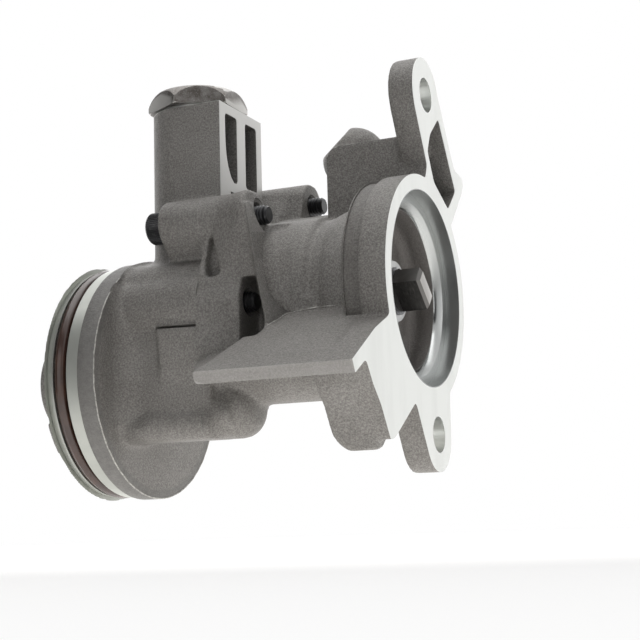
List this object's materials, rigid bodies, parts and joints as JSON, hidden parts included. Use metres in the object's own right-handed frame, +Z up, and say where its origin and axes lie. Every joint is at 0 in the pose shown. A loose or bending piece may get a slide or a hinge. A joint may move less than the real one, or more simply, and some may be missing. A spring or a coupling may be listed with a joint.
{
  "type": "engine oil pump",
  "caption": "Gear oil pump for an engine: cast body with mounting flange, long drive neck with tang, sealed round spigot and a relief valve tower with spill windows.",
  "frame": {"origin": "centre of the drive opening, on the machined face of the mounting flange", "axes": "+X leaves the flange along the drive axis, +Z runs up the relief valve tower, +Y completes the right-handed frame and points to the side of the inlet port"},
  "size_m": [0.1652, 0.1272, 0.1702],
  "materials": {
    "cast_body": "sand cast, bead blasted",
    "cast_housing": "sand cast, bead blasted",
    "drive_steel": "hardened, dark",
    "gear_steel": "ground",
    "bright_steel": "ground",
    "bush_bronze": "reamed",
    "plug_steel": "phosphated",
    "spring_steel": "drawn wire",
    "screw_black": "black oxide",
    "seal_rubber": "moulded, brown, shiny"
  },
  "bodies": {
    "housing": {"pump_body": "cast_body", "gear_housing": "cast_housing", "neck_bush": "bush_bronze", "joint_bush": "bush_bronze", "end_bush": "bush_bronze", "idler_shaft": "bright_steel", "short_screws": "screw_black", "long_screws": "screw_black", "dowel_pins": "bright_steel", "relief_plug": "plug_steel", "plug_washer": "bright_steel", "spring_guide": "bright_steel", "relief_spring": "spring_steel", "spigot_seal": "seal_rubber"},
    "drive": {"drive_shaft": "drive_steel", "drive_gear": "gear_steel", "gear_key": "bright_steel", "shaft_snap_ring": "spring_steel", "shaft_washer": "bright_steel"},
    "idler": {"idler_gear": "gear_steel", "idler_bush": "bush_bronze"},
    "piston": {"relief_piston": "bright_steel"}
  },
  "joints": [
    {"name": "drive_spin", "type": "hinge", "parent": "housing", "child": "drive", "pos_m": [0, 0, 0], "axis": [1, 0, 0], "continuous": true},
    {"name": "idler_spin", "type": "hinge", "parent": "housing", "child": "idler", "pos_m": [-0.097, -0.00795, -0.02685], "axis": [1, 0, 0], "continuous": true},
    {"name": "relief_piston_slide", "type": "slide", "parent": "housing", "child": "piston", "axis": [0, 0, 1], "range_m": [0, 0.014], "stiffness_N_per_m": 2000, "springref_m": -0.01, "deforming": ["relief_spring"]}
  ],
  "couplings": [
    {"joint": "idler_spin", "follows": "drive_spin", "ratio": -1}
  ]
}
